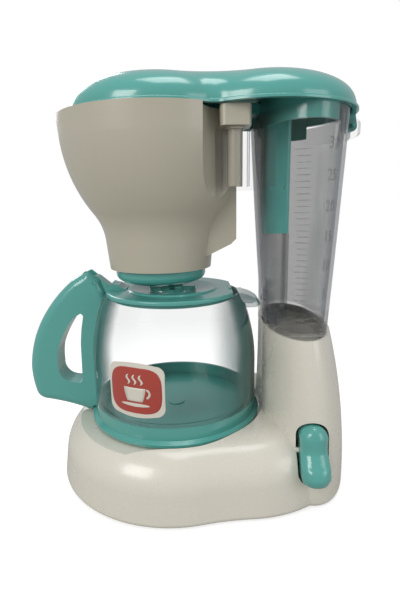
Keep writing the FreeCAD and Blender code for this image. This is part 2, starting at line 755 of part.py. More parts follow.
pump = add_body("water_pump")
pump_plan = add_sketch(pump, "XY_Plane", cover_top, "plan")
add_circle(pump_plan, duct_x, 0, pump_radius)
pad(pump, pump_plan, pump_height)
pump_flange = add_sketch(pump, "XY_Plane", cover_top, "flange")
add_circle(pump_flange, duct_x, 0, pump_radius + 4)
pad(pump, pump_flange, 2)
pump_top = cover_top + pump_height
spigot = add_sketch(pump, "XY_Plane", pump_top, "spigot")
add_circle(spigot, duct_x, 0, hose_radius - 1.2)
pad(pump, spigot, 7)
round_edges(pump, pump_round, flat_at(pump_top.value), "soft")
pump_bore = add_sketch(pump, "XY_Plane", pump_top - 6, "bore")
add_circle(pump_bore, duct_x, 0, hose_radius - 2.6)
pocket(pump, pump_bore, 30, up=True)
finish(pump)

hose = add_body("pump_hose")
hose_foot = pump_top + pump_round + 0.1
hose_ring = add_sketch(hose, "XY_Plane", hose_foot, "ring")
add_circle(hose_ring, duct_x, 0, hose_radius)
add_circle(hose_ring, duct_x, 0, hose_radius - 1.2 + hose_ease)
tank_base = tank_foot_height - tank_plug
pad(hose, hose_ring, tank_base - hose_foot - 0.2)
finish(hose)

# Water tank: lofted clear shell with duct, hinge socket, web and lid lugs

tank = add_body("water_tank")
tank_rows = [
    (tank_foot_height, tank_foot_x, tank_foot_half_x, tank_foot_half_y),
    (tank_mid_height, tank_mid_x, tank_mid_half_x, tank_mid_half_y),
    (tank_top_height, tank_top_x, tank_top_half_x, tank_top_half_y),
]
outer = []
for i, (z, x, a, b) in enumerate(tank_rows):
    ring = add_sketch(tank, "XY_Plane", z, "outer_%d" % i)
    add_oval(ring, x, a, b)
    outer.append(ring)
loft(tank, outer)
plug = add_sketch(tank, "XY_Plane", tank_base, "plug")
add_oval(plug, tank_foot_x, tank_foot_half_x, tank_foot_half_y)
pad(tank, plug, tank_plug)

socket = add_sketch(tank, "XY_Plane", socket_bottom, "socket")
add_box(socket, pin_x - socket_half, -pin_y - socket_half, pin_x + socket_half, -pin_y + socket_half)
socket_height = socket_top - socket_bottom
pad(tank, socket, socket_height)
round_edges(tank, 2.0, lambda e: e.BoundBox.ZLength > 25 and e.BoundBox.XMax < pin_x.value + 1
            and e.BoundBox.XLength < 0.1, "socket_round")
web = add_sketch(tank, "XZ_Plane", pin_y - web_thickness / 2, "web")
web_left = pin_x + socket_half - 1
add_outline(web, [(web_left, socket_bottom), (tank_mid_x - 14, socket_bottom),
                  (tank_mid_x - 18, socket_top), (web_left, socket_top)])
pad(tank, web, web_thickness)
web_two = add_sketch(tank, "XY_Plane", socket_bottom, "web_floor")
add_box(web_two, web_left, -pin_y - socket_half, tank_mid_x - 14, -pin_y + socket_half)
pad(tank, web_two, 2.0)
lug_z = rim_height - hinge_drop
lug_root = hinge_x - tank_top_x - tank_top_half_x + 3
for side, tag in ((1, "near"), (-1, "far")):
    lug = add_sketch(tank, "XZ_Plane", (lug_inner if side > 0 else -(lug_inner + lug_width)), "lug_" + tag)
    add_outline(lug, [
        (hinge_x - lug_root, lug_z - lug_drop - 3), (hinge_x, lug_z - lug_drop),
        (hinge_x + lug_radius, lug_z - lug_drop + 3), (hinge_x + lug_radius, lug_z),
        (hinge_x, lug_z + lug_radius), (hinge_x - lug_root, lug_z + lug_radius),
    ], {1: lug_radius + 1, 3: lug_radius})
    pad(tank, lug, lug_width)
inner = []
for i, (z, x, a, b) in enumerate(tank_rows):
    lift = z + tank_floor if i == 0 else z
    ring = add_sketch(tank, "XY_Plane", lift + (0.5 if i == 2 else 0), "inner_%d" % i)
    add_oval(ring, x, a - wall, b - wall)
    inner.append(ring)
loft(tank, inner, cut=True)
duct_half = duct_width / 2
duct_foot = tank_foot_height + seat_gap
duct = add_sketch(tank, "XY_Plane", duct_foot, "duct")
add_box(duct, duct_front_x, -duct_half, duct_front_x + duct_depth, duct_half)
pad(tank, duct, duct_top - duct_foot)
duct_bore = add_sketch(tank, "XY_Plane", tank_foot_height + tank_floor, "duct_bore")
add_box(duct_bore, duct_front_x + duct_wall, -duct_half + duct_wall,
        duct_front_x + duct_depth - duct_wall, duct_half - duct_wall)
pocket(tank, duct_bore, duct_top - tank_base, up=True)
duct_hole = add_sketch(tank, "XY_Plane", tank_base, "duct_hole")
add_circle(duct_hole, duct_x, 0, duct_inlet / 2)
pocket(tank, duct_hole, 12, up=True)
pin_bore = add_sketch(tank, "XY_Plane", socket_bottom + 2, "pin_bore")
add_circle(pin_bore, pin_x, -pin_y, pin_radius + shaft_gap)
pocket(tank, pin_bore, socket_height + 20, up=True)
lug_bore = add_sketch(tank, "XZ_Plane", 0, "lug_bore")
add_circle(lug_bore, hinge_x, lug_z, hinge_pin_radius + shaft_gap)
pocket(tank, lug_bore, (lug_inner + lug_width) * 2 + 4, both=True)
finish(tank)

# Riser in the tank and spray arm over the basket

riser = add_body("riser_channel")
riser_plan = add_sketch(riser, "XY_Plane", duct_top + seat_gap, "plan")
add_box(riser_plan, duct_front_x, -duct_half, duct_front_x + duct_depth, duct_half)
arm_bottom = rim_height + 0.8
pad(riser, riser_plan, arm_bottom - duct_top - seat_gap)
round_edges(riser, 2.5, lambda e: e.BoundBox.ZLength > 20, "soft")
riser_bore = add_sketch(riser, "XY_Plane", duct_top, "bore")
add_box(riser_bore, duct_front_x + duct_wall, -duct_half + duct_wall,
        duct_front_x + duct_depth - duct_wall, duct_half - duct_wall)
pocket(riser, riser_bore, arm_bottom - duct_top, up=True)
finish(riser)

arm = add_body("spray_arm")
arm_plan = add_sketch(arm, "XY_Plane", arm_bottom, "plan")
arm_front = -(basket_x + 3)
arm_rear = duct_front_x + duct_depth
add_outline(arm_plan, [(arm_front, -arm_half), (arm_rear, -arm_half), (arm_rear, arm_half),
                       (arm_front, arm_half), (arm_front - arm_half, 0)], {3: arm_half, 4: arm_half})
pad(arm, arm_plan, arm_height)
round_edges(arm, 1.5, flat_at((arm_bottom + arm_height).value), "soft")
arm_bore = add_sketch(arm, "XY_Plane", arm_bottom + 1.5, "bore")
add_box(arm_bore, arm_front, -arm_half + 2, arm_rear - 2, arm_half - 2)
pocket(arm, arm_bore, arm_height - 3, up=True)
arm_inlet = add_sketch(arm, "XY_Plane", arm_bottom, "inlet")
add_circle(arm_inlet, duct_x, 0, duct_inlet / 2)
for i in range(3):
    add_circle(arm_inlet, arm_front + 1 + i * 4, 0, 1.2)
pocket(arm, arm_inlet, 2.0, up=True)
finish(arm)

# Top lid: a lofted two-lobed dome with bead, skirt, thumb tab and hinge barrel

cap_base = rim_height + bead_height - 0.4
half_span = (lid_rear_x + lid_front_x) / 2


def full_share(share):
    """How much of the rim's reach a full, soft-cornered dome keeps at a share of its rise."""
    full = lid_fullness.value
    return Size((1 - share ** full) ** (1 / full),
                "((1 - %g ^ %s) ^ (1 / %s))" % (share, lid_fullness.text, lid_fullness.text))


def lobed_dome(body, base, front, rear, waist, rise, levels):
    rings = []
    for i, share in enumerate(levels):
        up = rise * share
        keep = full_share(share)
        r0 = front * keep
        r1 = rear * keep
        neck = waist * keep
        blend = (half_span * half_span + neck * neck - r1 * r1) / ((r1 - neck) * 2)
        ring = add_sketch(body, "XY_Plane", base + up, "ring_%d" % i)
        add_lobes(ring, -lid_front_x, r0, lid_rear_x, r1, blend)
        rings.append(ring)
    return loft(body, rings)


levels = [0, 0.2, 0.4, 0.6, 0.78, 0.92, 0.995]
lid_form = add_body("lid_form")
bead = add_sketch(lid_form, "XY_Plane", rim_height, "bead")
add_lobes(bead, -lid_front_x, lid_front_radius + bead_reach, lid_rear_x, lid_rear_radius + bead_reach,
          rim_blend)
pad(lid_form, bead, bead_height)
round_edges(lid_form, 0.6, flat_at((rim_height + bead_height).value), "bead_round")
lobed_dome(lid_form, cap_base, lid_front_radius - 0.6, lid_rear_radius - 0.6,
           lid_waist, lid_cap_rise, levels)

lid_core = add_body("lid_core")
core_plan = add_sketch(lid_core, "XY_Plane", rim_height - 1, "plan")
add_lobes(core_plan, -lid_front_x, lid_front_radius - lid_wall, lid_rear_x, lid_rear_radius - lid_wall,
          rim_blend + lid_wall)
pad(lid_core, core_plan, bead_height + 0.62)
lobed_dome(lid_core, cap_base, lid_front_radius - 0.6 - lid_wall, lid_rear_radius - 0.6 - lid_wall,
           lid_waist - lid_wall, lid_cap_rise - lid_wall, levels)

skirt = add_body("lid_skirt")
skirt_plan = add_sketch(skirt, "XY_Plane", rim_height - skirt_depth, "plan")
skirt_x = tank_top_half_x - wall - skirt_gap - 0.4
skirt_y = tank_top_half_y - wall - skirt_gap
add_oval(skirt_plan, tank_top_x, skirt_x, skirt_y)
pad(skirt, skirt_plan, skirt_depth + bead_height + lid_cap_rise)
skirt_bore = add_sketch(skirt, "XY_Plane", rim_height - skirt_depth, "bore")
add_oval(skirt_bore, tank_top_x, skirt_x - skirt_wall, skirt_y - skirt_wall)
pocket(skirt, skirt_bore, skirt_depth + bead_height + lid_cap_rise, up=True)
skirt_slot = add_sketch(skirt, "XY_Plane", rim_height - skirt_depth, "slot")
add_box(skirt_slot, tank_top_x - tank_top_half_x, -duct_half - 1, tank_top_x, duct_half + 1)
add_box(skirt_slot, tank_top_x + skirt_rear, -tank_top_half_y, tank_top_x + tank_top_half_x, tank_top_half_y)
pocket(skirt, skirt_slot, skirt_depth + bead_height + 6, up=True)
skirt_low = add_body("skirt_low")
low_block = add_sketch(skirt_low, "XY_Plane", rim_height - skirt_depth - 1, "block")
add_box(low_block, 0, -70, 130, 70)
pad(skirt_low, low_block, skirt_depth + 2.5)

lid_room = doc.addObject("Part::MultiFuse", "lid_room")
lid_room.Shapes = [lid_form, skirt_low]
skirt_trim = doc.addObject("Part::MultiCommon", "skirt_trim")
skirt_trim.Shapes = [skirt, lid_room]
lid_shell = doc.addObject("Part::Cut", "lid_shell")
lid_shell.Base = lid_form
lid_shell.Tool = lid_core

barrel = add_body("lid_barrel")
barrel_side = add_sketch(barrel, "XZ_Plane", 0, "side")
barrel_radius = lug_radius - 0.4
add_outline(barrel_side, [
    (hinge_x - barrel_radius + 0.4, rim_height + 2), (hinge_x - barrel_radius, lug_z),
    (hinge_x, lug_z - barrel_radius), (hinge_x + barrel_radius, lug_z),
    (lid_rear_x + lid_rear_radius - 0.3, rim_height + 2),
], {1: barrel_radius, 2: barrel_radius})
pad(barrel, barrel_side, (lug_inner - moving_gap) * 2, both=True)
barrel_bore = add_sketch(barrel, "XZ_Plane", 0, "bore")
add_circle(barrel_bore, hinge_x, lug_z, hinge_pin_radius + shaft_gap)
pocket(barrel, barrel_bore, lug_inner * 2 + 2, both=True)
tab = add_body("lid_tab")
tab_plan = add_sketch(tab, "XY_Plane", rim_height + 0.6, "plan")
tab_front = -(lid_front_x + lid_front_radius)
add_outline(tab_plan, [(tab_front + 2, -9), (tab_front + 2, 9), (tab_front - 4, 5), (tab_front - 4, -5)],
            {1: -30, 3: -30})
pad(tab, tab_plan, bead_height + 1.2)
round_edges(tab, 1.2, lambda e: e.BoundBox.XMin < tab_front.value - 3, "soft")
top_lid = doc.addObject("Part::MultiFuse", "top_lid")
top_lid.Shapes = [lid_shell, skirt_trim, barrel, tab]
top_lid.Label = "top_lid"
finish(top_lid)

lid_pin = add_body("lid_hinge_pin")
lid_pin_end = add_sketch(lid_pin, "XZ_Plane", 0, "end")
add_circle(lid_pin_end, hinge_x, lug_z, hinge_pin_radius)
pad(lid_pin, lid_pin_end, (lug_inner + lug_width) * 2, both=True)
finish(lid_pin)

# Filter basket: outer form less inner core, with a knuckle over the tank's socket



def basket_solid(body, inset, top_up, core=False):
    """The basket's solid, pulled in by the wall for its core."""
    foot_z = basket_foot_height + inset
    side = add_sketch(body, "XZ_Plane", 0, "side")
    top = [(basket_rim_radius - inset, basket_rim_height + top_up)]
    if core:
        top = [(basket_rim_radius - inset, basket_rim_height - wall),
               (basket_rim_radius - inset - rim_shelf, basket_rim_height - wall),
               (basket_rim_radius - inset - rim_shelf, basket_rim_height + top_up)]
    add_outline(side, [
        (0, foot_z), (basket_foot_radius - inset, foot_z), (basket_neck_radius - inset, basket_neck_height),
        (basket_shoulder_radius - inset, basket_shoulder_height),
        (basket_upper_radius - inset, basket_upper_height),
    ] + top + [(0, basket_rim_height + top_up)], {2: -basket_waist_radius, 3: basket_belly_radius})
    turn(body, side)
    back_x = basket_back_x + basket_x - inset
    rear = add_sketch(body, "XY_Plane", 0, "rear")
    add_box(rear, back_x, -basket_rim_radius - 5, back_x + 40, basket_rim_radius + 5)
    pocket(body, rear, basket_rim_height + 10, up=True)
    spine = add_sketch(body, "XZ_Plane", 0, "spine")
    low = back_bottom + inset * 1.4
    add_outline(spine, [
        (12, low - back_slope), (28, low - back_slope), (back_x - 3, low), (back_x, low + 3),
        (back_x, basket_rim_height + top_up), (12, basket_rim_height + top_up),
    ])
    pad(body, spine, (back_half_width - inset) * 2, both=True)


basket_form = add_body("basket_form", -basket_x)
basket_solid(basket_form, as_size(0), as_size(0))
local_x = pin_x + basket_x
knuckle_low = socket_top + collar_height + seat_gap
notch = add_sketch(basket_form, "XY_Plane", 0, "notch")
add_circle(notch, local_x, -pin_y, notch_radius)
pocket(basket_form, notch, knuckle_low, up=True)
flute = add_sketch(basket_form, "XY_Plane", 0, "flute")
add_circle(flute, flute_x + basket_x, -flute_y, flute_radius)
pocket(basket_form, flute, basket_rim_height + 10, up=True)
knuckle = add_sketch(basket_form, "XY_Plane", knuckle_low, "knuckle")
add_block(knuckle, local_x - knuckle_half, -pin_y - knuckle_half, local_x + knuckle_half,
          -pin_y + knuckle_half, knuckle_round)
pad(basket_form, knuckle, basket_rim_height - knuckle_low)
knuckle_bore = add_sketch(basket_form, "XY_Plane", 0, "knuckle_bore")
add_circle(knuckle_bore, local_x, -pin_y, pin_radius + shaft_gap)
pocket(basket_form, knuckle_bore, basket_rim_height - 2, up=True)
drain = add_sketch(basket_form, "XY_Plane", 0, "drain")
add_circle(drain, 0, 0, drain_radius)
pocket(basket_form, drain, basket_foot_height + 10, up=True)

basket_core = add_body("basket_core", -basket_x)
basket_solid(basket_core, wall, as_size(1.4), core=True)
core_notch = add_sketch(basket_core, "XY_Plane", 0, "notch")
add_circle(core_notch, local_x, -pin_y, notch_radius + wall)
pocket(basket_core, core_notch, knuckle_low + wall, up=True)
core_flute = add_sketch(basket_core, "XY_Plane", 0, "flute")
add_circle(core_flute, flute_x + basket_x, -flute_y, flute_radius + wall)
pocket(basket_core, core_flute, basket_rim_height + 10, up=True)
core_knuckle = add_sketch(basket_core, "XY_Plane", 0, "knuckle")
add_box(core_knuckle, local_x - knuckle_half, -pin_y - knuckle_half, local_x + knuckle_half,
        -pin_y + knuckle_half + wall)
pocket(basket_core, core_knuckle, basket_rim_height + 10, up=True)
basket = doc.addObject("Part::Cut", "filter_basket")
basket.Base = basket_form
basket.Tool = basket_core
basket.Label = "filter_basket"
finish(basket)

basket_pin = add_body("basket_pin")
pin_plan = add_sketch(basket_pin, "XY_Plane", socket_bottom + 2 + seat_gap, "plan")
add_circle(pin_plan, pin_x, -pin_y, pin_radius)
pad(basket_pin, pin_plan, basket_rim_height - socket_bottom - 4 - seat_gap * 4)
collar = add_sketch(basket_pin, "XY_Plane", socket_top + 0.02, "collar")
add_circle(collar, pin_x, -pin_y, collar_radius)
pad(basket_pin, collar, collar_height)
finish(basket_pin)

# Drip cup under the basket

cup = add_body("drip_cup", -basket_x)
cup_side = add_sketch(cup, "XZ_Plane", 0, "side")
cup_z = cup_bottom_height
add_outline(cup_side, [
    (3, cup_z), (cup_floor_radius, cup_z), (cup_radius - 2.4, cup_z + 3.4), (cup_radius, cup_z + 6.6),
    (cup_radius, basket_foot_height), (cup_radius - cup_wall, basket_foot_height),
    (cup_radius - cup_wall, cup_z + 7.2), (cup_radius - 3.4, cup_z + 5),
    (cup_floor_radius, cup_z + cup_wall), (3, cup_z + cup_wall),
], {1: 44, 2: 5})
turn(cup, cup_side)
finish(cup)

# Jug: teal base, clear body with spout, and handle

jug_base = add_body("jug_base")
jug_low = base_height - recess_depth + 0.3
floor_top = jug_low + jug_floor
band_inner = jug_radius - 2.0
base_side = add_sketch(jug_base, "XZ_Plane", 0, "side")
add_outline(base_side, [
    (0, jug_low), (jug_flange_radius - 1.5, jug_low), (jug_flange_radius, jug_low + 1.5),
    (jug_flange_radius, jug_low + 2.9), (jug_radius - 0.1, jug_low + 4.2),
    (jug_radius - 0.1, jug_band_top), (band_inner, jug_band_top), (band_inner, floor_top), (0, floor_top),
])
turn(jug_base, base_side)
gate = add_sketch(jug_base, "XY_Plane", floor_top, "gate")
add_circle(gate, 0, 0, 5.5)
pad(jug_base, gate, 0.5)
finish(jug_base)

shell_low = floor_top + 0.3
step_z = jug_band_top + 0.3


def jug_profile(sketch, grow, low, high, middle=0):
    """The jug's outer side from its band up, pushed out by a gap."""
    add_outline(sketch, [
        (middle, low), (jug_radius + grow, low), (jug_radius + grow, jug_belly_height),
        (jug_shoulder_radius + grow, jug_shoulder_height), (jug_neck_radius + grow, jug_top_height),
        (jug_neck_radius + grow, high), (middle, high),
    ], {2: shoulder_radius, 3: throat_radius})


jug = add_body("jug_body")
jug_side = add_sketch(jug, "XZ_Plane", 0, "side")
add_outline(jug_side, [
    (0, shell_low), (band_inner - 0.3, shell_low), (band_inner - 0.3, step_z), (jug_radius, step_z),
    (jug_radius, jug_belly_height), (jug_shoulder_radius, jug_shoulder_height),
    (jug_neck_radius, jug_top_height), (0, jug_top_height),
], {4: shoulder_radius, 5: throat_radius})
turn(jug, jug_side)
spout = add_sketch(jug, "XZ_Plane", 0, "spout")
spout_low = jug_top_height - 9
add_outline(spout, [
    (jug_neck_radius - 4, spout_low), (spout_reach - 3, spout_low + 0.4), (spout_reach, spout_low + 2.6),
    (spout_reach - 4.6, jug_top_height), (jug_neck_radius - 4, jug_top_height),
], {1: 3, 2: 20})
pad(jug, spout, spout_width, both=True)
round_edges(jug, 3.5, lambda e: e.BoundBox.XMax > spout_reach.value - 0.5
            and e.BoundBox.YLength < 0.01 and e.BoundBox.ZMax > jug_top_height.value - 0.01, "spout_round")
jug_core = add_sketch(jug, "XZ_Plane", 0, "core")
add_outline(jug_core, [
    (0, shell_low - 1), (band_inner - 0.3 - jug_wall, shell_low - 1), (band_inner - 0.3 - jug_wall, step_z),
    (jug_radius - jug_wall, step_z + 2), (jug_radius - jug_wall, jug_belly_height),
    (jug_shoulder_radius - jug_wall, jug_shoulder_height),
    (jug_neck_radius - jug_wall, jug_top_height), (jug_neck_radius - jug_wall, jug_top_height + 3),
    (0, jug_top_height + 3),
], {4: shoulder_radius, 5: throat_radius})
turn(jug, jug_core, cut=True)
channel = add_sketch(jug, "XZ_Plane", 0, "channel")
add_outline(channel, [
    (jug_neck_radius - 6, spout_low + 2.6), (spout_reach - 5, spout_low + 2.2),
    (spout_reach + 1, spout_low + 5), (spout_reach + 1, jug_top_height + 2),
    (jug_neck_radius - 6, jug_top_height + 2),
])
pocket(jug, channel, spout_width - 5, both=True)
spout_trim = add_sketch(jug, "XZ_Plane", 0, "spout_trim")
add_outline(spout_trim, [
    (jug_neck_radius + 2, jug_top_height + 3), (jug_neck_radius + 2, jug_top_height - 0.4),
    (spout_reach + 2, spout_low + 2), (spout_reach + 2, jug_top_height + 3),
], {1: -22})
pocket(jug, spout_trim, spout_width + 4, both=True)
finish(jug)

handle = add_body("jug_handle")
grip_z = jug_belly_height - 3
handle_side = add_sketch(handle, "XZ_Plane", 0, "side")
add_outline(handle_side, [
    (-44.2, head_top - 5.6), (-50.8, head_top), (-56, head_top - 2.6), (-62, head_top - 6.1),
    (-(grip_x - 10), grip_z + 31.3), (-grip_x, grip_z), (-(grip_x - 1.6), grip_z - 16.4),
    (-(grip_x - 8), grip_z - 23), (-57, grip_foot_z), (-44, grip_foot_z), (-38, grip_z + 37),
], {1: 9, 3: 90, 4: 75, 5: 60, 6: 8, 7: -120})
pad(handle, handle_side, handle_width, both=True)
round_edges(handle, handle_round, lambda e: e.BoundBox.YLength < 0.01, "soft")
grip_hole = add_sketch(handle, "XZ_Plane", 0, "grip_hole")
add_outline(grip_hole, [
    (-55.9, grip_z + 32.4), (-57.6, grip_z + 34.7), (-63.6, grip_z + 30), (-73, grip_z + 12.5),
    (-74, grip_z), (-67, grip_z - 10), (-61.4, grip_z - 10.8), (-59.2, grip_z - 8.6),
    (-58.6, grip_z + 14.5),
], {0: 1.8, 1: 18, 2: 70, 3: 50, 4: 9, 6: 2.6, 8: -120})
pocket(handle, grip_hole, handle_width + 4, both=True)
handle_seat = add_sketch(handle, "XZ_Plane", 0, "seat")
jug_profile(handle_seat, handle_gap, as_size(30), as_size(140))
turn(handle, handle_seat, cut=True)
flange_seat = add_sketch(handle, "XY_Plane", 30, "flange_seat")
add_circle(flange_seat, 0, 0, jug_flange_radius + handle_gap)
pocket(handle, flange_seat, jug_low + 4.6 - 30, up=True)
tongue_slot = add_sketch(handle, "XY_Plane", jug_top_height + 0.6, "tongue_slot")
add_box(tongue_slot, -(jug_hinge_x + 7), -tongue_half - moving_gap, -30, tongue_half + moving_gap)
pocket(handle, tongue_slot, 30, up=True)
handle_bore = add_sketch(handle, "XZ_Plane", 0, "bore")
add_circle(handle_bore, -jug_hinge_x, jug_hinge_height, jug_pin_radius + shaft_gap)
pocket(handle, handle_bore, handle_width + 4, both=True)
finish(handle)

# Jug lid with hub, spokes, knob and hinge tongue

jug_lid = add_body("jug_lid")
lid_z = jug_lid_bottom
lid_side = add_sketch(jug_lid, "XZ_Plane", 0, "side")
dish_z = lid_z + dish_skin
lid_top = lid_z + jug_lid_edge
rib_out = jug_neck_radius - jug_wall - rib_gap
rib_in = rib_out - 1.6
add_outline(lid_side, [
    (opening_radius, lid_z), (rib_in, lid_z), (rib_in, lid_z - rib_depth), (rib_out, lid_z - rib_depth),
    (rib_out, lid_z), (jug_lid_radius, lid_z), (jug_lid_radius, lid_top - 1), (jug_lid_radius - 1, lid_top),
    (dish_radius + 1.4, lid_top), (dish_radius + 0.6, lid_top + dish_bead),
    (dish_radius - 0.8, lid_top + dish_bead), (opening_radius + 1, dish_z),
    (opening_radius + 1, dish_z + 0.6), (opening_radius, dish_z + 0.6),
], {6: 1})
turn(jug_lid, lid_side)
spout_cut = add_sketch(jug_lid, "XY_Plane", lid_z - rib_depth - 1, "spout_cut")
add_box(spout_cut, lip_front, -jug_lid_radius, jug_lid_radius + 5, jug_lid_radius)
pocket(jug_lid, spout_cut, 30, up=True)
curtain = add_sketch(jug_lid, "XY_Plane", lid_z - rib_depth, "curtain")
curtain_half = spout_width / 2 - 3.2
add_box(curtain, lip_front - 1.6, -curtain_half, lip_front, curtain_half)
pad(jug_lid, curtain, rib_depth + jug_lid_edge + 0.6)
hub = add_sketch(jug_lid, "XY_Plane", lid_z, "hub")
add_circle(hub, 0, 0, hub_radius)
hub_top = cup_bottom_height - 0.9
pad(jug_lid, hub, hub_top - lid_z)
round_edges(jug_lid, 1.5, flat_at(hub_top.value), "hub_round")
spokes = add_sketch(jug_lid, "XY_Plane", lid_z, "spokes")
add_box(spokes, -opening_radius - 0.6, -1.6, opening_radius + 0.6, 1.6)
pad(jug_lid, spokes, 3.4)
spokes_two = add_sketch(jug_lid, "XY_Plane", lid_z, "spokes_two")
add_box(spokes_two, -1.6, -opening_radius - 0.6, 1.6, opening_radius + 0.6)
pad(jug_lid, spokes_two, 3.4)
knob = add_sketch(jug_lid, "XZ_Plane", 0, "knob")
knob_left = jug_hinge_x - 6.4
add_outline(knob, [
    (-knob_left, lid_z + 0.4), (-knob_left, lid_top + 1.6), (-(knob_left - 4), lid_top + 4.4),
    (-(knob_rear + 4), lid_top + 3.2), (-knob_rear, lid_top + 0.6), (-knob_rear, lid_z + 0.4),
], {1: 5, 2: 14, 3: 5})
pad(jug_lid, knob, knob_half * 2, both=True)
tongue = add_sketch(jug_lid, "XZ_Plane", 0, "tongue")
tongue_round = as_size(3.8)
add_outline(tongue, [
    (-(jug_lid_radius - 3), lid_z + 0.4), (-(jug_lid_radius - 3), lid_top + 2.4),
    (-(jug_hinge_x - 2.4), jug_hinge_height + 2.95), (-jug_hinge_x, jug_hinge_height + tongue_round),
    (-(jug_hinge_x + tongue_round), jug_hinge_height), (-jug_hinge_x, jug_hinge_height - tongue_round),
    (-(jug_lid_radius + 1.2), lid_top + 0.6), (-(jug_lid_radius + 1.2), lid_z + 0.9),
], {2: tongue_round, 3: tongue_round, 4: tongue_round})
pad(jug_lid, tongue, tongue_half * 2, both=True)
tongue_bore = add_sketch(jug_lid, "XZ_Plane", 0, "tongue_bore")
add_circle(tongue_bore, -jug_hinge_x, jug_hinge_height, jug_pin_radius + shaft_gap)
pocket(jug_lid, tongue_bore, handle_width, both=True)
finish(jug_lid)

jug_pin = add_body("jug_lid_pin")
jug_pin_end = add_sketch(jug_pin, "XZ_Plane", 0, "end")
add_circle(jug_pin_end, -jug_hinge_x, jug_hinge_height, jug_pin_radius)
pad(jug_pin, jug_pin_end, handle_width - 1, both=True)
finish(jug_pin)

# Sticker: a thin round-cornered patch bent round the jug

sticker_ring = add_body("sticker_ring")
ring_side = add_sketch(sticker_ring, "XZ_Plane", 0, "side")
ring_in = 0.3
ring_out = sticker_skin + ring_in
add_outline(ring_side, [
    (jug_radius + ring_in, step_z), (jug_radius + ring_out, step_z),
    (jug_radius + ring_out, jug_belly_height), (jug_shoulder_radius + ring_out, jug_shoulder_height),
    (jug_shoulder_radius + ring_in, jug_shoulder_height),
    (jug_radius + ring_in, jug_belly_height),
], {2: shoulder_radius, 4: -shoulder_radius})
turn(sticker_ring, ring_side)
sticker_form = add_body("sticker_form")
sticker_form.Placement.Rotation = FreeCAD.Rotation(FreeCAD.Vector(0, 0, 1), sticker_turn.value)
bind(sticker_form, ".Placement.Rotation.Angle", sticker_turn)
patch = add_sketch(sticker_form, "XZ_Plane", 0, "patch")
corner = 5
left = -sticker_half_x
right = sticker_half_x
low = sticker_height - sticker_half_z
high = sticker_height + sticker_half_z
add_outline(patch, [
    (left, low + corner), (left + corner, low), (right - corner, low), (right, low + corner),
    (right, high - corner), (right - corner, high), (left + corner, high), (left, high - corner),
], {0: corner, 1: 60, 2: corner, 4: corner, 5: 60, 6: corner})
pad(sticker_form, patch, jug_radius + 10)
sticker = doc.addObject("Part::MultiCommon", "jug_sticker")
sticker.Shapes = [sticker_ring, sticker_form]
sticker.Label = "jug_sticker"
finish(sticker)

# Check every object and write the pieces, with X 0 moved to the outline's middle

doc.recompute()
for item in doc.Objects:
    if "Invalid" in item.State or "Error" in item.State:
        raise RuntimeError("not valid: " + item.Label)
os.makedirs("parts", exist_ok=True)
for body in finished:
    shape = body.Shape.translated(FreeCAD.Vector(-outline_middle_x.value, 0, 0))
    if shape.isNull() or not shape.isValid():
        raise RuntimeError("bad shape: " + body.Label)
    shape.exportStep("parts/" + body.Label + ".step")
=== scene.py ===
import math

import bmesh
import bpy
from mathutils import Matrix, Vector


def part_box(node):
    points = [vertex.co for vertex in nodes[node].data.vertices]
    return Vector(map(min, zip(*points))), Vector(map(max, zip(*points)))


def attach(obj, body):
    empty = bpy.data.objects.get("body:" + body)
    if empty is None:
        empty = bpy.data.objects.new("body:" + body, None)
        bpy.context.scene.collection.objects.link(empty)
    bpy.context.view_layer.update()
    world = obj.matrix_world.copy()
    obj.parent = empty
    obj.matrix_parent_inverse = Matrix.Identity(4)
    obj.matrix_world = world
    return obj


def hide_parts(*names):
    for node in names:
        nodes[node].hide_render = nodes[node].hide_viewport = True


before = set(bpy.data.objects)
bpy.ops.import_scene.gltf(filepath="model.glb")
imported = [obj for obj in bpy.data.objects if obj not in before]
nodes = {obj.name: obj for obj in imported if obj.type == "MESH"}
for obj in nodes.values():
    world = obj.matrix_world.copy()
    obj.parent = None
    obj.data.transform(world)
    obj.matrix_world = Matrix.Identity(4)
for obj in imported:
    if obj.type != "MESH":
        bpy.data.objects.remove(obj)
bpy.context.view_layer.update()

# Toy coffee maker: the solids' plastics and clear walls, the rocker's paddle, the
# sticker's art and the tank's moulded scale. Metres, +Z up, the switch side is -Y.

# Places of the walls that carry thin detail

AXIS_X = -0.008  # the jug's upright axis
JUG_RADIUS = 0.0516
JUG_BELLY_Z = 0.070  # above it the wall curves in
JUG_SHOULDER_RADIUS = 0.099
TANK_LEVELS = (0.094, 0.150, 0.214)
TANK_HALF_X = (0.0186, 0.0226, 0.0265)
TANK_HALF_Y = (0.0445, 0.0456, 0.0460)
TANK_MIDDLE = (0.0752, 0.0750, 0.0750)  # along X, from the jug's axis


# Materials

def feed(tree, target, values, sources=None):
    """Sets a node's plain inputs and links the sockets that feed the others."""
    for key, value in values.items():
        target.inputs[key].default_value = value
    for key, socket in (sources or {}).items():
        tree.links.new(socket, target.inputs[key])


def add_node(tree, kind, values=None, sources=None, **settings):
    made = tree.nodes.new("ShaderNode" + kind)
    for key, value in settings.items():
        setattr(made, key, value)
    feed(tree, made, values or {}, sources)
    return made


def new_material(name):
    """A material, its node tree, its main shader and the object's own coordinates."""
    mat = bpy.data.materials.new(name)
    mat.use_nodes = True
    tree = mat.node_tree
    shader = next(n for n in tree.nodes if n.type == "BSDF_PRINCIPLED")
    coords = add_node(tree, "TexCoord").outputs["Object"]
    return mat, tree, shader, coords


def noise(tree, coords, scale, detail, rough=0.5):
    values = {"Scale": scale, "Detail": detail, "Roughness": rough}
    return add_node(tree, "TexNoise", values, {"Vector": coords}).outputs["Fac"]


